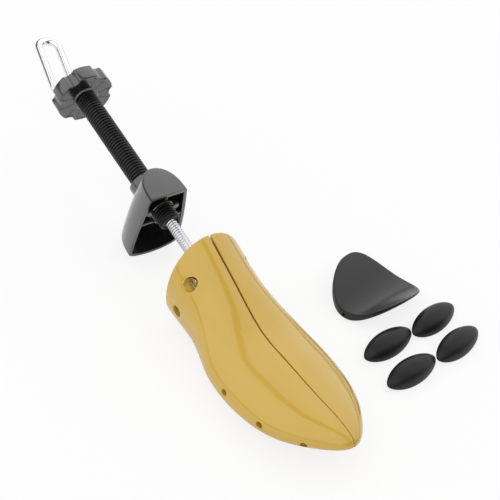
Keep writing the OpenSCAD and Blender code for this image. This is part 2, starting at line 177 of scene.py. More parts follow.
YELLOW = Finish("glossy_yellow_plastic", (0.56, 0.35, 0.036), (0.6, 0.38, 0.045), roughness=(0.2, 0.26),
                grain=500.0, bump=0.000003, coat=0.8, coat_roughness=0.07, streak=Gradient.LENGTHWISE, drift=40.0)
BLACK = Finish("satin_black_plastic", (0.009, 0.009, 0.01), (0.016, 0.0145, 0.0165), roughness=(0.16, 0.24),
               grain=1600.0, bump=0.000004, coat=1.0, coat_roughness=0.1, ior=1.75)
TUBE = Finish("moulded_black_tube", (0.003, 0.003, 0.0035), (0.006, 0.006, 0.0065), roughness=(0.2, 0.28),
              grain=1600.0, bump=0.000004, ior=1.4)
SADDLE = Finish("smooth_black_pad", (0.005, 0.005, 0.0055), (0.011, 0.0095, 0.009), roughness=(0.2, 0.28),
                grain=1800.0, bump=0.000004, drift=18.0)
MATT = Finish("fine_textured_black_plastic", (0.004, 0.004, 0.0045), (0.007, 0.0065, 0.0065), roughness=(0.36, 0.46),
              grain=2200.0, bump=0.00002, ior=1.4)
CHROME = Finish("bright_plated_wire", (0.86, 0.86, 0.88), (0.8, 0.8, 0.83), metallic=1.0, roughness=(0.02, 0.05),
                grain=700.0, bump=0.000001)
STEEL = Finish("turned_steel", (0.7, 0.7, 0.72), (0.6, 0.6, 0.63), metallic=1.0, roughness=(0.1, 0.16),
               grain=1800.0, bump=0.000002)
BRASS = Finish("turned_brass", (0.62, 0.44, 0.16), (0.5, 0.35, 0.12), metallic=1.0, roughness=(0.22, 0.34),
               grain=1500.0, bump=0.000003)


# Shape helpers


class Maker:
    """Turns bmeshes into finished pieces that ride on a body."""

    @staticmethod
    def finish_mesh(
        bm: bmesh.types.BMesh, name: str, matrix: Matrix, finish: Finish, shading: Shading, merge: float = MERGE
    ) -> bpy.types.Object:
        """Closes a bmesh into an object at the origin with one material.

        Args:
            bm: the shape, in millimetres.
            name: the new object's name.
            matrix: from the shape's frame to the shared frame.
            finish: the material.
            shading: which edges stay sharp.
            merge: points closer than this, in millimetres, become one.

        Returns:
            The new object, linked into the scene.
        """
        bmesh.ops.remove_doubles(bm, verts=bm.verts, dist=merge)
        bmesh.ops.recalc_face_normals(bm, faces=bm.faces)
        piece = Maker.finish_sheet(bm, name, matrix, finish)
        piece.data.set_sharp_from_angle(angle=math.radians(shading.value))
        return piece

    @staticmethod
    def finish_sheet(bm: bmesh.types.BMesh, name: str, matrix: Matrix, finish: Finish) -> bpy.types.Object:
        """Makes an object from an open sheet whose faces already look outwards.

        Args:
            bm: the sheet, in millimetres.
            name: the new object's name.
            matrix: from the sheet's frame to the shared frame.
            finish: the material.

        Returns:
            The new object, linked into the scene.
        """
        bmesh.ops.transform(bm, matrix=matrix, verts=bm.verts)
        mesh = bpy.data.meshes.new(name)
        bm.to_mesh(mesh)
        bm.free()
        mesh.shade_smooth()
        mesh.materials.append(finish.build())
        piece = bpy.data.objects.new(name, mesh)
        bpy.context.scene.collection.objects.link(piece)
        return piece

    @staticmethod
    def join(bm: bmesh.types.BMesh, other: bmesh.types.BMesh, name: str) -> None:
        """Merges the doubles of one bmesh and moves it into another.

        Args:
            bm: the bmesh that takes them.
            other: the bmesh that is used up.
            name: a name for the mesh that carries them over.
        """
        bmesh.ops.remove_doubles(other, verts=other.verts, dist=MERGE)
        spare = bpy.data.meshes.new(name)
        other.to_mesh(spare)
        other.free()
        bm.from_mesh(spare)
        bpy.data.meshes.remove(spare)

    @staticmethod
    def sheet(columns: int, rows: int, place: Callable[[int, int], Point]) -> bmesh.types.BMesh:
        """Makes a grid and moves each of its points to a place of its own.

        Args:
            columns: cells along the first direction.
            rows: cells along the second.
            place: gives the place of the point at a column and a row.

        Returns:
            The bmesh of the shaped grid.
        """
        bm = bmesh.new()
        bmesh.ops.create_grid(bm, x_segments=columns, y_segments=rows, size=1.0)
        for vert in bm.verts:
            column = round((vert.co.x + 1.0) / 2.0 * columns)
            row = round((vert.co.y + 1.0) / 2.0 * rows)
            vert.co = Vector(place(column, row))
        return bm

    @staticmethod
    def face_outwards(bm: bmesh.types.BMesh, merge: float, way: Point) -> None:
        """Merges an open sheet's doubles, and turns its faces over if they look inwards.

        Args:
            bm: the sheet.
            merge: points closer than this, in millimetres, become one.
            way: a direction that is outwards for the sheet's furthest face that way.
        """
        bmesh.ops.remove_doubles(bm, verts=bm.verts, dist=merge)
        bmesh.ops.recalc_face_normals(bm, faces=bm.faces)
        furthest = max(bm.faces, key=lambda face: face.calc_center_median().dot(way))
        if furthest.normal.dot(way) < 0.0:
            bmesh.ops.reverse_faces(bm, faces=bm.faces)

    @staticmethod
    def lathe(bm: bmesh.types.BMesh, profile: Sequence[Pair], steps: int = 96) -> None:
        """Spins a closed profile of (station, radius) pairs about the first axis.

        Args:
            bm: the bmesh that takes the shape.
            profile: the profile's corners, in order.
            steps: the number of segments round the axis.
        """
        verts = [bm.verts.new((s, 0.0, r)) for s, r in profile]
        edges = [bm.edges.new((verts[i], verts[(i + 1) % len(verts)])) for i in range(len(verts))]
        bmesh.ops.spin(bm, geom=verts + edges, cent=(0.0, 0.0, 0.0), axis=(1.0, 0.0, 0.0), dvec=(0.0, 0.0, 0.0),
                       angle=math.tau, steps=steps, use_merge=True, use_duplicate=False)

    @staticmethod
    def thread(bm: bmesh.types.BMesh, start: float, end: float, profile: Sequence[Pair], pitch: float,
               steps: int = 40) -> None:
        """Winds a thread about the first axis, and trims it square at both ends.

        Args:
            bm: an empty bmesh.
            start: the lower station.
            end: the upper station.
            profile: one pitch of the thread, as (part of the pitch, radius) pairs from 0 to 1.
            pitch: the thread's pitch.
            steps: the number of segments in a turn.
        """
        turns = math.ceil((end - start) / pitch) + 2
        verts = [bm.verts.new((start - pitch + f * pitch, 0.0, r)) for f, r in profile]
        edges = [bm.edges.new((verts[i], verts[i + 1])) for i in range(len(verts) - 1)]
        bmesh.ops.spin(bm, geom=verts + edges, cent=(0.0, 0.0, 0.0), axis=(1.0, 0.0, 0.0),
                       dvec=(pitch / steps, 0.0, 0.0), angle=math.tau * turns, steps=turns * steps,
                       use_merge=False, use_duplicate=False)
        bmesh.ops.remove_doubles(bm, verts=bm.verts, dist=1e-3)
        for station, side in ((start, -1.0), (end, 1.0)):
            bmesh.ops.bisect_plane(bm, geom=bm.verts[:] + bm.edges[:] + bm.faces[:], plane_co=(station, 0.0, 0.0),
                                   plane_no=(side, 0.0, 0.0), clear_outer=True)
        rims = [e for e in bm.edges if e.is_boundary]
        bmesh.ops.holes_fill(bm, edges=rims, sides=0)

    @staticmethod
    def bevel(bm: bmesh.types.BMesh, edges: Sequence[bmesh.types.BMEdge], width: float, segments: int = 3) -> None:
        """Rounds some edges.

        Args:
            bm: the shape.
            edges: the edges to round.
            width: the width of the rounding.
            segments: its number of steps.
        """
        bmesh.ops.bevel(bm, geom=list(edges), offset=width, offset_type="OFFSET", segments=segments, profile=0.5,
                        affect="EDGES", clamp_overlap=True, material=-1)

    @staticmethod
    def sharp_edges(bm: bmesh.types.BMesh, angle: float = 40.0) -> list[bmesh.types.BMEdge]:
        """Returns the edges whose faces meet at more than an angle in degrees."""
        limit = math.radians(angle)
        return [e for e in bm.edges if len(e.link_faces) == 2 and e.calc_face_angle(0.0) > limit]

    @staticmethod
    def settle(piece: bpy.types.Object, body: str, slot: str, nodes: Sequence[str] = ()) -> None:
        """Puts a piece on its body and hides the CAD nodes that it stands for.

        Args:
            piece: the finished piece.
            body: the body that carries it.
            slot: the record's material slot; not used.
            nodes: the nodes that it replaces.
        """
        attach(piece, body)
        if nodes:
            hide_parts(*nodes)
        LOG.info("%s: %d faces on %s", piece.name, len(piece.data.polygons), body)

    @staticmethod
    def cut(piece: bpy.types.Object, cutters: Sequence[bpy.types.Object], shading: Shading) -> None:
        """Cuts other solids out of a piece for good, and removes them.

        Args:
            piece: the solid to cut.
            cutters: the solids that are taken away.
            shading: which edges stay sharp afterwards.
        """
        for cutter in cutters:
            modifier = piece.modifiers.new("cut", "BOOLEAN")
            modifier.operation = "DIFFERENCE"
            modifier.solver = "EXACT"
            modifier.object = cutter
        graph = bpy.context.evaluated_depsgraph_get()
        mesh = bpy.data.meshes.new_from_object(piece.evaluated_get(graph))
        piece.modifiers.clear()
        old = piece.data
        piece.data = mesh
        bpy.data.meshes.remove(old)
        mesh.name = piece.name
        mesh.shade_smooth()
        mesh.set_sharp_from_angle(angle=math.radians(shading.value))
        for cutter in cutters:
            bpy.data.objects.remove(cutter)


def smooth_read(values: Sequence[float], u: float) -> float:
    """Reads a smooth curve through evenly spaced values.

    Args:
        values: the values at the stations.
        u: where to read it, from 0 to 1.

    Returns:
        The value there.
    """
    n = len(values) - 1
    i = min(int(u * n), n - 1)
    f = u * n - i
    padded = [2.0 * values[0] - values[1], *values, 2.0 * values[n] - values[n - 1]]
    a, b, c, d = padded[i:i + 4]
    return b + 0.5 * f * (c - a + f * (2 * a - 5 * b + 4 * c - d + f * (3 * (b - c) + d - a)))


# The last


@dataclass
class SplitLast:
    """The last in two halves: a smooth outer skin over each half's shell, with rounded rims and cut holes."""

    length: float = 168.0
    rear: float = -4.7
    half_widths: tuple[float, ...] = (30.3, 30.8, 38.8, 40.8, 37.6, 25.3)
    tops: tuple[float, ...] = (66.5, 50.9, 35.8, 33.7, 33.0, 35.9)
    bottoms: tuple[float, ...] = (-1.5, -1.5, -1.5, -1.5, 1.0, 8.0)
    tip: float = 26.5
    widest: float = 0.42
    upper_power: float = 2.0
    lower_power: float = 2.6
    toe_power: float = 5.0
    gap_rear: float = 1.8
    gap_toe: float = 0.4
    proud: float = 0.12
    lift: float = 0.04
    skin: float = 0.5
    rim: float = 0.7
    rear_round: float = 1.3
    lip: float = 2.6
    holes: tuple[Hole, ...] = (
        (12.0, 23.9, 45.0, 0.0, 5.0, 0.7),
        (9.0, 30.1, 20.5, 0.0, 4.2, 0.5),
        (81.5, 39.75, 15.5, 4.0, 2.4, 0.35),
        (115.0, 36.05, 16.5, 14.0, 2.4, 0.35),
        (143.0, 22.6, 19.0, 38.0, 2.4, 0.35),
    )

    def round_off(self, u: float) -> float:
        """Returns how much of its full size the section keeps at u, down to nothing at the toe."""
        return math.sqrt(max(0.0, 1.0 - u**self.toe_power))

    def point(self, x: float, u: float, angle: float, side_in: float, inset: float) -> Point:
        """Finds a point of the left half's surface.

        Args:
            x: the station along the last.
            u: the same as a part of its length.
            angle: the turn round the section in degrees, from -90 below to 90 above.
            side_in: how far from the mid-plane the section starts.
            inset: how far inside the outer surface the point lies.

        Returns:
            The point in the last's frame.
        """
        low, high = smooth_read(self.bottoms, u), smooth_read(self.tops, u)
        keep = self.round_off(u)
        plain = low + self.widest * (high - low)
        middle = plain + (self.tip - plain) * u**self.toe_power
        up = angle > 0.0
        power = self.upper_power if up else self.lower_power
        share = (1.0 - self.widest) if up else self.widest
        a = math.radians(angle)
        height = max(0.0, share * (high - low) * keep + self.proud - inset)
        half = max(side_in, smooth_read(self.half_widths, u) * keep + self.proud - inset)
        y = side_in + (half - side_in) * max(0.0, math.cos(a)) ** (2.0 / power)
        z = middle + math.copysign(height * abs(math.sin(a)) ** (2.0 / power), angle)
        return (x, y, max(inset - self.lift, z))

    def build_half(self, side: Side) -> None:
        """Builds one half's skin, which lies over the shell beneath it.

        Args:
            side: which half.
        """
        word = side.name.lower()
        body = f"half_{word}"
        turns = 5
        rows = [(0.0, self.lip), (0.0, self.lip * 0.6)]
        for k in range(turns + 1):
            a = math.radians(90.0 * (1.0 - k / turns))
            rows.append((self.rear_round * (1.0 - math.sin(a)), self.rear_round * (1.0 - math.cos(a))))
        stations = 96
        for k in range(1, stations + 1):
            x = self.rear_round + (self.length - self.rear_round) * math.sin(math.radians(90.0 * k / stations))
            rows.append((x, 0.0))
        wide = 64
        columns = [(-90.0, 0.0, self.lip), (-90.0, 0.0, self.lip * 0.6)]
        for k in range(turns):
            a = math.radians(90.0 * k / turns)
            columns.append((-90.0, self.rim * (1.0 - math.cos(a)), self.rim * (1.0 - math.sin(a))))
        columns += [(-90.0 + 180.0 * k / wide, self.rim, 0.0) for k in range(wide + 1)]
        columns += [(90.0, offset, inset) for _, offset, inset in reversed(columns[: 2 + turns])]

        def place(i: int, j: int) -> Point:
            """Returns the place of the grid's point at a column i round the section and a row j along it."""
            x, row_inset = rows[j]
            angle, offset, column_inset = columns[i]
            u = min(1.0, x / self.length)
            seam = (self.gap_rear + (self.gap_toe - self.gap_rear) * u) / 2.0 - self.lift
            keep = min(1.0, self.round_off(u) * 3.0)
            depth = (row_inset + column_inset) * keep
            px, py, pz = self.point(x, u, angle, seam + offset * keep, depth)
            return (px + self.rear - 0.05, py * side.value, pz)

        bm = Maker.sheet(len(columns) - 1, len(rows) - 1, place)
        Maker.face_outwards(bm, 0.002, (0.0, side.value, 0.0))
        skin = Maker.finish_sheet(bm, f"last_skin_{word}", PLACE.last(), YELLOW)
        thicken = skin.modifiers.new("wall", "SOLIDIFY")
        thicken.thickness = self.skin * MM
        thicken.offset = -1.0
        Maker.cut(skin, [self.cutter(hole, side) for hole in self.holes], Shading.SOFT)
        Maker.settle(skin, body, "yellow_plastic")

    @staticmethod
    def cutter(hole: Hole, side: Side) -> bpy.types.Object:
        """Makes the solid that cuts one hole with a small chamfer.

        Args:
            hole: the mouth's x, y and z, the turn of the hole in degrees, its radius and its chamfer.
            side: which half it is for.

        Returns:
            The cutter.
        """
        x, y, z, turn, radius, chamfer = hole
        bm = bmesh.new()
        Maker.lathe(bm, [(-5.0, 0.0), (-5.0, radius), (-chamfer * 1.2, radius), (0.9, radius + chamfer * 2.0),
                         (4.0, radius + chamfer * 2.0), (4.0, 0.0)], 64)
        aim = Matrix.Rotation(math.radians((90.0 - turn) * side.value), 4, "Z")
        matrix = PLACE.last() @ Matrix.Translation((x, y * side.value, z)) @ aim
        return Maker.finish_mesh(bm, "hole_cutter", matrix, YELLOW, Shading.SOFT)

    def build(self) -> None:
        """Builds both halves."""
        for side in Side:
            self.build_half(side)


# The rod, its handle and its collars


@dataclass
class RodAndHandle:
    """The threaded steel rod with the bent wire handle on its rear end."""

    radius: float = 4.0
    pitch: float = 2.0
    thread_depth: float = 0.36
    rear: float = -197.0
    thread_start: float = -56.0
    shoulder: float = 32.7
    spigot_end: float = 43.0
    spigot_radius: float = 3.0
    wire: float = 3.0
    span: float = 16.0
    lean: float = 12.0
    leg: float = 38.5
    offset: float = -2.0
    roll: float = -6.0
    free_end: float = 6.1
    body: str = "spindle"

    def build_rod(self) -> None:
        """Builds the rod with its helical thread."""
        bm = bmesh.new()
        root = self.radius - self.thread_depth
        profile = [(0.0, root), (0.12, root), (0.42, self.radius), (0.62, self.radius), (0.92, root), (1.0, root)]
        Maker.thread(bm, self.thread_start, self.shoulder, profile, self.pitch, 36)
        plain = bmesh.new()
        Maker.lathe(plain, [(self.rear, 0.0), (self.rear, self.radius), (self.thread_start, self.radius),
                            (self.thread_start, 0.0)], 48)
        Maker.lathe(plain, [(self.shoulder - 0.5, 0.0), (self.shoulder - 0.5, self.spigot_radius),
                            (self.spigot_end - 0.6, self.spigot_radius), (self.spigot_end, self.spigot_radius - 0.6),
                            (self.spigot_end, 0.0)], 48)
        Maker.join(bm, plain, "plain_part")
        piece = Maker.finish_mesh(bm, "threaded_rod", PLACE.rod(), STEEL, Shading.CRISP)
        Maker.settle(piece, self.body, "steel", ["steel_rod"])

    def build_handle(self) -> None:
        """Builds the hook of round wire: a leg on the axis, a half-round bend and a leg that ends in a dome."""
        bm = bmesh.new()
        bend = self.span / 2.0
        path = [Vector((2.5, 0.0, 0.0))] + [Vector((-self.leg * k / 12.0, 0.0, 0.0)) for k in range(12)]
        turns = 40
        for k in range(turns + 1):
            a = math.pi * k / turns
            path.append(Vector((-self.leg - bend * math.sin(a), -bend + bend * math.cos(a), 0.0)))
        path += [Vector((-self.leg + (self.leg + self.free_end) * k / 12.0, -self.span, 0.0)) for k in range(1, 13)]
        last_point = path[-1].copy()
        path += [last_point + Vector((self.wire * math.sin(a), 0.0, 0.0)) for a in
                 (math.radians(15.0 * k) for k in range(1, 7))]
        widths = [1.0] * (len(path) - 6) + [math.cos(math.radians(15.0 * k)) for k in range(1, 7)]
        rings = []
        for k, centre in enumerate(path):
            ahead = path[min(k + 1, len(path) - 1)] - path[max(k - 1, 0)]
            aim = ahead.to_track_quat("Z", "Y").to_matrix().to_4x4()
            made = bmesh.ops.create_circle(bm, cap_ends=False, segments=40, radius=max(0.02, self.wire * widths[k]),
                                           matrix=Matrix.Translation(centre) @ aim)
            rings.append({e for v in made["verts"] for e in v.link_edges})
        for near, far in zip(rings, rings[1:]):
            bmesh.ops.bridge_loops(bm, edges=list(near | far))
        ends = [e for e in bm.edges if e.is_boundary]
        bmesh.ops.holes_fill(bm, edges=ends, sides=0)
        lean = (Matrix.Rotation(math.radians(self.roll), 4, "X") @ Matrix.Translation((self.rear, self.offset, 0.0))
                @ Matrix.Rotation(math.radians(-self.lean), 4, "Z"))
        piece = Maker.finish_mesh(bm, "wire_handle", PLACE.rod() @ lean, CHROME, Shading.SOFT, 1e-5)
        Maker.settle(piece, self.body, "chrome", ["hook_handle"])

    def build_collars(self) -> None:
        """Builds the turned collars that hold the tube on the rod."""
        for name, start, end, radius, node in (
            ("rear_stop_collar", self.rear, -191.3, 7.0, "rear_collar"),
            ("front_stop_collar", -57.7, -53.5, 6.0, "front_collar"),
        ):
            bm = bmesh.new()
            inner = self.radius - 0.3
            Maker.lathe(bm, [(start, inner), (start, radius - 0.6), (start + 0.6, radius), (end - 0.6, radius),
                             (end, radius - 0.6), (end, inner)])
            piece = Maker.finish_mesh(bm, name, PLACE.rod(), STEEL, Shading.CRISP)
            Maker.settle(piece, self.body, "steel", [node])

    def build(self) -> None:
        """Builds the rod, the handle and the collars."""
        self.build_rod()
        self.build_handle()
        self.build_collars()


# The length adjuster


@dataclass
class LengthAdjuster:
    """The star knob and the threaded tube that it turns."""

    tube: float = 8.0
    bore: float = 4.15
    pitch: float = 2.5
    thread_depth: float = 1.0
    front: float = -51.0
    knob_front: float = -179.0
    knob_thick: float = 12.0
    knob_radius: float = 22.8
    lobes: int = 6
    first_notch: float = 2.0
    notch: float = 6.0
    notch_depth: float = 2.5
    notch_blend: float = 0.9
    rim_round: float = 1.1
    rim_points: int = 320
    body: str = "adjuster"

    def rim_radius(self, angle: float) -> float:
        """Returns the knob's radius at an angle in radians, with its notches rounded at their edges."""
        step = math.tau / self.lobes
        off = (angle - math.radians(self.first_notch) + step / 2.0) % step - step / 2.0
        centre = self.knob_radius + self.notch - self.notch_depth
        span = abs(centre * math.sin(off))
        if span >= self.notch:
            return self.knob_radius
        inside = centre * math.cos(off) - math.sqrt(self.notch**2 - span**2)
        blend = self.notch_blend
        gap = self.knob_radius - inside
        if gap <= -blend:
            return self.knob_radius
        if gap >= blend:
            return inside
        return self.knob_radius - (gap + blend) ** 2 / (4.0 * blend)

    def build_knob(self) -> None:
        """Builds the knob: a lobed disc with rounded rims, a dished centre and a hub round the tube."""
        bm = bmesh.new()
        aim = Matrix.Rotation(math.radians(90.0), 4, "Y")
        made = bmesh.ops.create_circle(bm, cap_ends=True, segments=self.rim_points, radius=1.0, matrix=aim)
        for vert in made["verts"]:
            angle = math.atan2(vert.co.z, vert.co.y)
            radius = self.rim_radius(angle)
            vert.co = Vector((self.knob_front - self.knob_thick, radius * math.cos(angle), radius * math.sin(angle)))
        raised = bmesh.ops.extrude_face_region(bm, geom=bm.faces[:])
        top = [g for g in raised["geom"] if isinstance(g, bmesh.types.BMVert)]
        bmesh.ops.translate(bm, vec=(self.knob_thick, 0.0, 0.0), verts=top)
        bmesh.ops.recalc_face_normals(bm, faces=bm.faces)
        caps = [f for f in bm.faces if len(f.verts) > 4]
        rims = {e for f in caps for e in f.edges}
        Maker.bevel(bm, list(rims), self.rim_round, 4)
        caps = [f for f in bm.faces if len(f.verts) > 4]
        for face in caps:
            outward = 1.0 if face.calc_center_median().x > self.knob_front - 1.0 else -1.0
            bmesh.ops.inset_region(bm, faces=[face], thickness=0.9, depth=0.0)
            bmesh.ops.inset_region(bm, faces=[face], thickness=0.35, depth=-0.3)
            middle = face.calc_center_median()
            for radius, level in ((10.3, -0.3), (10.0, 0.4), (9.4, 0.7)):
                bmesh.ops.inset_region(bm, faces=[face], thickness=0.001, depth=0.0)
                for vert in face.verts:
                    angle = math.atan2(vert.co.z, vert.co.y)
                    vert.co = Vector((middle.x + outward * (level + 0.3), radius * math.cos(angle),
                                      radius * math.sin(angle)))
        piece = Maker.finish_mesh(bm, "star_knob", PLACE.rod(), BLACK, Shading.CRISP)
        along = (PLACE.rod().to_3x3() @ Vector((1.0, 0.0, 0.0))).normalized()
        for face in piece.data.polygons:
            face.use_smooth = abs(face.normal.dot(along)) < 0.999
        Maker.settle(piece, self.body, "black_plastic", ["adjusting_knob"])

    def build_tube(self) -> None:
        """Builds the tube: a helical thread over a core with a bored front end."""
        bm = bmesh.new()
        root, crest = self.tube - self.thread_depth, self.tube
        profile = [(0.0, root), (0.1, root), (0.3, crest - 0.12), (0.36, crest), (0.64, crest), (0.7, crest - 0.12),
                   (0.9, root), (1.0, root)]
        Maker.thread(bm, self.knob_front + 0.2, self.front - 0.9, profile, self.pitch, 56)
        core = bmesh.new()
        back = self.knob_front - self.knob_thick + 0.2
        Maker.lathe(core, [(back, self.bore), (back, root - 0.1), (self.front - 1.2, root - 0.1),
                           (self.front - 1.2, root + 0.25), (self.front - 0.4, root + 0.25), (self.front, root - 0.2),
                           (self.front, 6.1), (self.front - 6.9, 6.1), (self.front - 6.9, self.bore)])
        Maker.join(bm, core, "core")
        piece = Maker.finish_mesh(bm, "threaded_black_tube", PLACE.rod(), TUBE, Shading.CRISP)
        Maker.settle(piece, self.body, "black_plastic", ["threaded_tube"])

    def build(self) -> None:
        """Builds the knob and the tube."""
        self.build_knob()
        self.build_tube()


# The heel block


@dataclass
class HeelBlock:
    """The upright hollow heel block, its top plate, its ribs and its threaded boss."""

    front: float = -61.0
    top: float = 20.0
    top_half: float = 15.0
    max_half: float = 21.0
    top_depth: float = 26.0
    max_depth: float = 27.5
    low_round: float = 7.0
    heel_round: float = 10.0
    roundness: float = 2.6
    squareness: float = 0.75
    wall: float = 2.6
    step: float = 1.1
    boss: float = 11.0
    boss_back: float = -91.5
    neck: float = 9.4
    body: str = "heel"

    def bottom(self) -> float:
        """Returns the height of the block's lowest point over the rod's axis."""
        slope = math.radians(PLACE.rod_slope)
        return -(PLACE.rod_height - self.front * math.sin(slope)) / math.cos(slope)

    def half_at(self, height: float) -> float:
        """Returns the block's half width at a height."""
        share = (self.top - height) / (self.top - self.bottom())
        plain = self.top_half + (self.max_half - self.top_half) * math.sin(min(1.0, share / 0.86) * math.pi / 2.0)
        low = max(0.0, self.low_round - (height - self.bottom())) / self.low_round
        return plain * math.sqrt(max(0.0, 1.0 - low * low))

    def depth_at(self, height: float) -> float:
        """Returns the block's depth, front to rear, at a height."""
        share = (self.top - height) / (self.top - self.bottom())
        plain = self.top_depth + (self.max_depth - self.top_depth) * math.sin(min(1.0, share / 0.57) * math.pi / 2.0)
        low = max(0.0, self.heel_round - (height - self.bottom())) / self.heel_round
        return plain * max(0.0, 1.0 - low**self.roundness) ** (1.0 / self.roundness)

    def outline(self, angle: float, height: float, inset: float) -> Point:
        """Finds a point of the wall.

        Args:
            angle: the turn round the D in degrees, 0 and 180 at the front.
            height: the height over the rod's axis.
            inset: how far inside the outer surface the point lies.

        Returns:
            The point in the rod's frame.
        """
        half = max(0.0, self.half_at(height) - inset)
        depth = max(0.0, self.depth_at(height) - inset)
        a = math.radians(angle)
        return (self.front - depth * max(0.0, math.sin(a)) ** self.squareness, -half * math.cos(a), height)

    def build_wall(self) -> None:
        """Builds the curved wall with its rounded bottom and softly rounded rims."""
        rows, around = 84, 72
        bottom = self.bottom()

        def place(i: int, j: int) -> Point:
            """Returns the place of the point at a column i round the D and a row j from the top."""
            share = j / rows
            drop = share / 0.6 * 0.72 if share < 0.6 else 0.72 + 0.28 * math.sin((share - 0.6) / 0.4 * math.pi / 2.0)
            height = self.top - self.step - drop * (self.top - self.step - bottom)
            return self.outline(180.0 * (0.5 - 0.5 * math.cos(math.pi * i / around)), height, 0.0)

        bm = Maker.sheet(around, rows, place)
        Maker.face_outwards(bm, 0.005, (-1.0, 0.0, 0.0))
        wall = Maker.finish_sheet(bm, "heel_wall", PLACE.rod(), BLACK)
        thicken = wall.modifiers.new("wall", "SOLIDIFY")
        thicken.thickness = self.wall * MM
        thicken.offset = -1.0
        thicken.use_even_offset = True
        soften = wall.modifiers.new("rims", "BEVEL")
        soften.width = 0.45 * MM
        soften.segments = 3
        soften.limit_method = "ANGLE"
        soften.angle_limit = math.radians(50.0)
        bm = bmesh.new()
        Maker.lathe(bm, [(-110.0, 0.0), (-110.0, self.boss - 0.1), (-66.0, self.boss - 0.1), (-66.0, 0.0)])
        cutter = Maker.finish_mesh(bm, "boss_cutter", PLACE.rod(), BLACK, Shading.SOFT)
        Maker.cut(wall, [cutter], Shading.CRISP)
        Maker.settle(wall, self.body, "black_plastic", ["heel_block"])

    def build_slab(self, name: str, height: float, thick: float, inset: float, front_back: float,
                   hole: bool) -> None:
        """Builds a flat plate that follows the inside of the wall.

        Args:
            name: the piece's name.
            height: the height of its upper face over the rod's axis.
            thick: its thickness.
            inset: its distance from the wall's outer surface.
            front_back: how far its front edge lies behind the block's front.
            hole: whether the boss is cut out of it.
        """
        around = 56
        bm = bmesh.new()
        made = bmesh.ops.create_circle(bm, cap_ends=True, segments=around + 1, radius=1.0)
        for k, vert in enumerate(made["verts"]):
            x, y, _ = self.outline(180.0 * k / around, height, inset)
            vert.co = Vector((min(x, self.front - front_back), y, height))
        raised = bmesh.ops.extrude_face_region(bm, geom=bm.faces[:])
        low = [g for g in raised["geom"] if isinstance(g, bmesh.types.BMVert)]
        bmesh.ops.translate(bm, vec=(0.0, 0.0, -thick), verts=low)
        bmesh.ops.remove_doubles(bm, verts=bm.verts, dist=0.01)
        bmesh.ops.recalc_face_normals(bm, faces=bm.faces)
        Maker.bevel(bm, Maker.sharp_edges(bm, 50.0), 0.4, 3)
        slab = Maker.finish_mesh(bm, name, PLACE.rod(), BLACK, Shading.CRISP)
        if hole:
            bm = bmesh.new()
            Maker.lathe(bm, [(-110.0, 0.0), (-110.0, self.boss - 0.2), (-50.0, self.boss - 0.2), (-50.0, 0.0)])
            cutter = Maker.finish_mesh(bm, "slab_cutter", PLACE.rod(), BLACK, Shading.SOFT)
            Maker.cut(slab, [cutter], Shading.CRISP)
        Maker.settle(slab, self.body, "black_plastic")

    def build_boss(self) -> None:
        """Builds the threaded boss that runs through the block, with its rear collar."""
        bm = bmesh.new()
        front = self.front - 1.6
        Maker.lathe(bm, [(self.boss_back, 7.9), (self.boss_back, self.boss - 0.9), (self.boss_back + 0.9, self.boss),
                         (-74.0, self.boss), (-73.0, self.neck), (front - 0.6, self.neck), (front, self.neck - 0.6),
                         (front, 8.4), (front - 0.5, 7.9)])
        piece = Maker.finish_mesh(bm, "heel_boss", PLACE.rod(), BLACK, Shading.CRISP)
        Maker.settle(piece, self.body, "black_plastic", ["heel_nut"])

    def build_ears(self) -> None:
        """Builds the two small round pads that stand beside the boss."""
        bm = bmesh.new()
        for side in (-1.0, 1.0):
            ear = bmesh.new()
            Maker.lathe(ear, [(-72.0, 0.0), (-72.0, 3.0), (-62.6, 3.0), (-62.0, 2.4), (-62.0, 0.0)], 40)
            bmesh.ops.translate(ear, vec=(0.0, side * 10.6, 1.2), verts=ear.verts)
            Maker.join(bm, ear, "ear")
        piece = Maker.finish_mesh(bm, "heel_ears", PLACE.rod(), BLACK, Shading.CRISP)
        Maker.settle(piece, self.body, "black_plastic")

    def build_web(self) -> None:
        """Builds the small upright web between the boss and the top plate."""
        bm = bmesh.new()
        made = bmesh.ops.create_cube(bm, size=1.0)
        for vert in made["verts"]:
            vert.co = Vector((-73.2 + vert.co.x * 22.0, vert.co.y * 1.8, 13.8 + vert.co.z * 9.0))
        Maker.bevel(bm, bm.edges[:], 0.4, 3)
        piece = Maker.finish_mesh(bm, "heel_web", PLACE.rod(), BLACK, Shading.CRISP)
        Maker.settle(piece, self.body, "black_plastic")

    def build(self) -> None:
        """Builds the whole block."""
        self.build_wall()
        self.build_slab("heel_top_plate", self.top, 3.2, 0.9, 0.0, False)
        self.build_slab("heel_rib", -7.2, 2.2, 1.5, 0.3, True)
        self.build_slab("heel_low_rib", -22.4, 1.6, 1.5, 14.0, False)
        self.build_boss()
        self.build_ears()
        self.build_web()


# Loose pieces


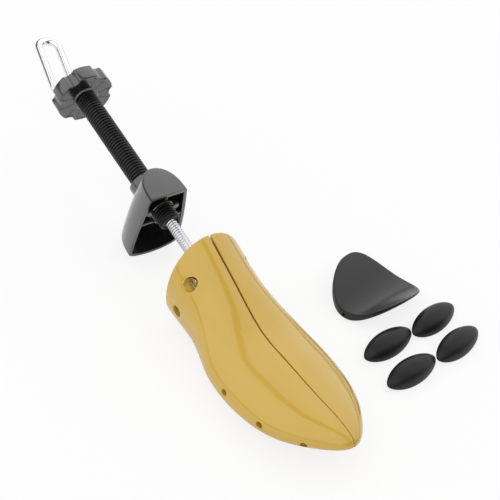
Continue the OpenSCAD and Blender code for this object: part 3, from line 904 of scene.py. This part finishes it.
@dataclass
class InstepPad:
    """The loose saddle-shaped pad: thick at its narrow end, dished on top, with raised sides."""

    length: float = 66.2
    width: float = 59.0
    rear_squareness: float = 0.91
    front_squareness: float = 0.85
    taper: float = 0.17
    thin: float = 2.4
    rise: float = 4.4
    flattening: float = 0.48
    place: Point = (45.5, 117.3, 103.5)
    round_width: float = 1.3
    hole_radius: float = 1.2
    hole_height: float = 3.4
    body: str = "pad"

    def edge(self, a: float) -> Pair:
        """Returns a point of the pad's outline at an angle in radians."""
        c, s = math.cos(a), math.sin(a)
        power = self.front_squareness if c > 0.0 else self.rear_squareness
        return (self.length / 2.0 * math.copysign(abs(c) ** power, c),
                self.width / 2.0 * math.copysign(abs(s) ** power, s) * (1.0 + self.taper * c))

    def forward(self, x: float) -> float:
        """Returns how far forward a point lies, from 0 at the thick end to 1 at the thin end."""
        return max(0.0, min(1.0, x / self.length + 0.5))

    def under(self, x: float, y: float) -> float:
        """Returns the height of the pad's underside."""
        return y * y / 40.0 * (1.0 - self.flattening * self.forward(x))

    def over(self, x: float, y: float) -> float:
        """Returns the height of the pad's top."""
        ahead = self.forward(x)
        return self.thin + self.rise * (1.0 - ahead) ** 0.85 + y * y / 44.0 * (1.0 - self.flattening * ahead)

    def build(self) -> None:
        """Builds the pad from a disc drawn out to its outline, top and underside."""
        rings, around = 18, 144
        turns = 5

        def place(i: int, j: int) -> Point:
            """Returns the place of the point at a column i from the top's middle over the rim to the underside."""
            a = math.tau * j / around
            ex, ey = self.edge(a)
            reach = math.hypot(ex, ey)
            lip = 1.0 - self.round_width / reach
            if i < rings:
                f = i / rings * lip
                return (ex * f, ey * f, self.over(ex * f, ey * f))
            if i <= rings + turns * 2:
                t = (i - rings) / (turns * 2) * math.pi
                f = lip + (1.0 - lip) * math.sin(t)
                upper, lower = self.over(ex * f, ey * f), self.under(ex * f, ey * f)
                if t <= math.pi / 2.0:
                    return (ex * f, ey * f, upper - self.round_width * (1.0 - math.cos(t)))
                return (ex * f, ey * f, lower + self.round_width * (1.0 + math.cos(t)))
            f = (1.0 - (i - rings - turns * 2) / rings) * lip
            return (ex * f, ey * f, self.under(ex * f, ey * f))

        bm = Maker.sheet(rings * 2 + turns * 2, around, place)
        x, y, turn = self.place
        matrix = PLACE.last() @ Matrix.Translation((x, y, 0.0)) @ Matrix.Rotation(math.radians(turn), 4, "Z")
        piece = Maker.finish_mesh(bm, "saddle_pad", matrix, SADDLE, Shading.SOFT, 0.002)
        bm = bmesh.new()
        mouth, end = -self.length / 2.0 - 3.0, -self.length / 2.0 + 10.0
        Maker.lathe(bm, [(mouth, 0.0), (mouth, self.hole_radius), (end, self.hole_radius), (end, 0.0)], 32)
        rise = Matrix.Translation((0.0, 0.0, self.hole_height))
        cutter = Maker.finish_mesh(bm, "pad_cutter", matrix @ rise, SADDLE, Shading.SOFT)
        Maker.cut(piece, [cutter], Shading.SOFT)
        Maker.settle(piece, self.body, "black_plastic", ["instep_pad"])


@dataclass
class PressurePlugs:
    """The four loose plugs: half a lemon each, with a peg on the flat back."""

    half_length: float = 24.5
    radius: float = 9.8
    fullness: float = 0.62
    cut: float = 1.2
    peg: float = 2.3
    peg_length: float = 3.6
    places: tuple[Point, ...] = ((89.0, 140.2, -79.8), (115.8, 139.2, -79.2), (92.1, 94.0, -83.0),
                                 (120.0, 91.7, -84.3))

    def back_half(self) -> float:
        """Returns half the width of the flat back."""
        return math.sqrt(self.radius**2 - self.cut**2)

    def tilt(self) -> float:
        """Returns the tilt in radians at which a plug leans on its rim and peg."""
        return math.atan(self.peg_length / (self.back_half() - self.peg))

    def build_plug(self, index: int) -> None:
        """Builds one plug.

        Args:
            index: which plug, from 0.
        """
        steps, around = 64, 72
        bm = bmesh.new()
        profile = []
        for k in range(steps + 1):
            share = -math.cos(math.pi * k / steps)
            profile.append((self.half_length * share, self.radius * max(0.0, 1.0 - share**2) ** self.fullness))
        Maker.lathe(bm, profile, around)
        bmesh.ops.remove_doubles(bm, verts=bm.verts, dist=1e-3)
        bmesh.ops.translate(bm, vec=(0.0, 0.0, -self.cut), verts=bm.verts)
        bmesh.ops.bisect_plane(bm, geom=bm.verts[:] + bm.edges[:] + bm.faces[:], plane_co=(0.0, 0.0, 0.0),
                               plane_no=(0.0, 0.0, -1.0), clear_outer=True)
        rim = [e for e in bm.edges if e.is_boundary]
        bmesh.ops.holes_fill(bm, edges=rim, sides=0)
        bmesh.ops.recalc_face_normals(bm, faces=bm.faces)
        Maker.bevel(bm, Maker.sharp_edges(bm, 45.0), 0.5, 3)
        x, y, turn = self.places[index]
        tilt = self.tilt()
        matrix = (PLACE.last() @ Matrix.Translation((x, y, self.back_half() * math.sin(tilt)))
                  @ Matrix.Rotation(math.radians(turn), 4, "Z") @ Matrix.Rotation(-tilt, 4, "X"))
        pin = bmesh.new()
        Maker.lathe(pin, [(-1.0, 0.0), (-1.0, self.peg), (self.peg_length - 0.4, self.peg),
                          (self.peg_length, self.peg - 0.4), (self.peg_length, 0.0)], 40)
        bmesh.ops.transform(pin, matrix=Matrix.Rotation(math.radians(90.0), 4, "Y"), verts=pin.verts)
        Maker.join(bm, pin, "pin")
        piece = Maker.finish_mesh(bm, f"pressure_plug_{index + 1}", matrix, MATT, Shading.SOFT)
        Maker.settle(piece, f"loose_plug_{index + 1}", "black_plastic", [f"plug_{index + 1}"])

    def build(self) -> None:
        """Builds all four plugs."""
        for index in range(len(self.places)):
            self.build_plug(index)


# The hidden mechanism keeps its CAD shapes


@dataclass
class Mechanism:
    """The steel and brass parts inside the last, whose CAD shapes are kept and dressed."""

    finishes: dict[str, Finish] = field(default_factory=lambda: {
        "last_half_left": YELLOW, "last_half_right": YELLOW, "ramp_plate_left": STEEL, "ramp_plate_right": STEEL,
        "ramp_screws_left": STEEL, "ramp_screws_right": STEEL, "nut_block": STEEL, "feed_nut": BRASS,
        "spine_bar": STEEL, "front_guide_block": STEEL, "guide_pin_upper": STEEL, "guide_pin_lower": STEEL,
        "guide_pin_front": STEEL, "frame_screws": STEEL, "spreader_wedge": STEEL, "tip_ring": STEEL,
    })

    def build(self) -> None:
        """Gives each CAD node its finish."""
        for node, finish in self.finishes.items():
            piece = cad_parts[node]
            piece.data.materials.clear()
            piece.data.materials.append(finish.build())
            LOG.info("%s dressed as %s", node, finish.name)


# The studio


@dataclass
class Studio:
    """The pale floor, the soft lights and the camera."""

    eye: Point = (442.857, -358.098, 549.607)
    right: Point = (0.57123179, 0.81086853, 0.12846146)
    down: Point = (0.59255371, -0.29831116, -0.74820862)
    ahead: Point = (-0.56844295, 0.50363944, -0.64990959)
    focal_pixels: float = 1119.19
    frame_pixels: float = 500.0
    sensor: float = 36.0
    panel_distance: float = 1.3
    panel_size: Pair = (3.6, 2.1)
    panel_height: float = 46.0
    floor_white: float = 0.8
    world_strength: float = 0.16

    def build_camera(self) -> None:
        """Sets the camera at the photograph's viewing angle."""
        data = bpy.data.cameras.new("camera")
        data.sensor_width = self.sensor
        data.lens = self.focal_pixels * self.sensor / self.frame_pixels
        data.clip_start, data.clip_end = 0.01, 20.0
        camera = bpy.data.objects.new("camera", data)
        bpy.context.scene.collection.objects.link(camera)
        turn = Matrix((self.right, [-v for v in self.down], [-v for v in self.ahead])).transposed().to_4x4()
        camera.matrix_world = Matrix.Translation(PLACE.last() @ Vector(self.eye)) @ turn
        bpy.context.scene.camera = camera

    def build_floor(self) -> None:
        """Builds the floor: white to the camera, with the object's shadow kept."""
        bm = bmesh.new()
        bmesh.ops.create_grid(bm, x_segments=1, y_segments=1, size=4.0)
        bmesh.ops.translate(bm, vec=(0.0, 0.0, -0.0003), verts=bm.verts)
        mesh = bpy.data.meshes.new("floor")
        bm.to_mesh(mesh)
        bm.free()
        floor = bpy.data.objects.new("floor", mesh)
        bpy.context.scene.collection.objects.link(floor)
        material = bpy.data.materials.new("pale_floor")
        material.use_nodes = True
        nodes, links = material.node_tree.nodes, material.node_tree.links
        shader = fill(nodes["Principled BSDF"], {"Base Color": (0.9, 0.9, 0.9, 1.0), "Roughness": 0.9,
                                                 "Specular IOR Level": 0.0})
        glow = fill(nodes.new("ShaderNodeEmission"), {"Color": WHITE, "Strength": 1.0})
        rays = nodes.new("ShaderNodeLightPath")
        part = nodes.new("ShaderNodeMath")
        part.operation = "MULTIPLY"
        part.inputs[1].default_value = self.floor_white
        links.new(rays.outputs["Is Camera Ray"], part.inputs[0])
        mix = nodes.new("ShaderNodeMixShader")
        links.new(part.outputs[0], mix.inputs["Fac"])
        links.new(shader.outputs[0], mix.inputs[1])
        links.new(glow.outputs[0], mix.inputs[2])
        links.new(mix.outputs[0], nodes["Material Output"].inputs["Surface"])
        mesh.materials.append(material)

    def build_world(self) -> None:
        """Sets a plain even world, white to the camera and dim to all other rays."""
        world = bpy.data.worlds.new("studio")
        bpy.context.scene.world = world
        world.use_nodes = True
        nodes, links = world.node_tree.nodes, world.node_tree.links
        plain = fill(nodes["Background"], {"Color": WHITE, "Strength": self.world_strength})
        white = fill(nodes.new("ShaderNodeBackground"), {"Color": WHITE, "Strength": 1.0})
        rays = nodes.new("ShaderNodeLightPath")
        mix = nodes.new("ShaderNodeMixShader")
        links.new(rays.outputs["Is Camera Ray"], mix.inputs["Fac"])
        links.new(plain.outputs[0], mix.inputs[1])
        links.new(white.outputs[0], mix.inputs[2])
        links.new(mix.outputs[0], nodes["World Output"].inputs["Surface"])

    def build_panel(self, name: str, bearing: float, brightness: float) -> None:
        """Adds a large soft panel that faces the object and shows as a pale field in its gloss.

        Args:
            name: the light's name.
            bearing: the direction it stands in, in degrees from +X towards +Y.
            brightness: how bright it looks, where 1 is white.
        """
        data = bpy.data.lights.new(name, "AREA")
        data.shape = "RECTANGLE"
        data.size, data.size_y = self.panel_size
        data.energy = brightness * math.pi * self.panel_size[0] * self.panel_size[1]
        light = bpy.data.objects.new(name, data)
        bpy.context.scene.collection.objects.link(light)
        turn, rise = math.radians(bearing), math.radians(self.panel_height)
        away = Vector((math.cos(turn) * math.cos(rise), math.sin(turn) * math.cos(rise), math.sin(rise)))
        light.location = away * self.panel_distance
        light.rotation_mode = "QUATERNION"
        light.rotation_quaternion = (-away).to_track_quat("-Z", "Y")

    def build(self) -> None:
        """Builds the whole studio."""
        self.build_camera()
        self.build_floor()
        self.build_world()
        self.build_panel("near_panel", -80.0, 1.14)
        self.build_panel("far_panel", 105.0, 1.1)
        bpy.context.scene.view_settings.view_transform = "Standard"


def main() -> None:
    """Builds every sub-assembly in order, then the studio."""
    logging.basicConfig(level=logging.INFO, format="%(name)s: %(message)s")
    for assembly in (Mechanism(), SplitLast(), RodAndHandle(), LengthAdjuster(), HeelBlock(), InstepPad(),
                     PressurePlugs(), Studio()):
        assembly.build()


if __name__ == "__main__":
    main()
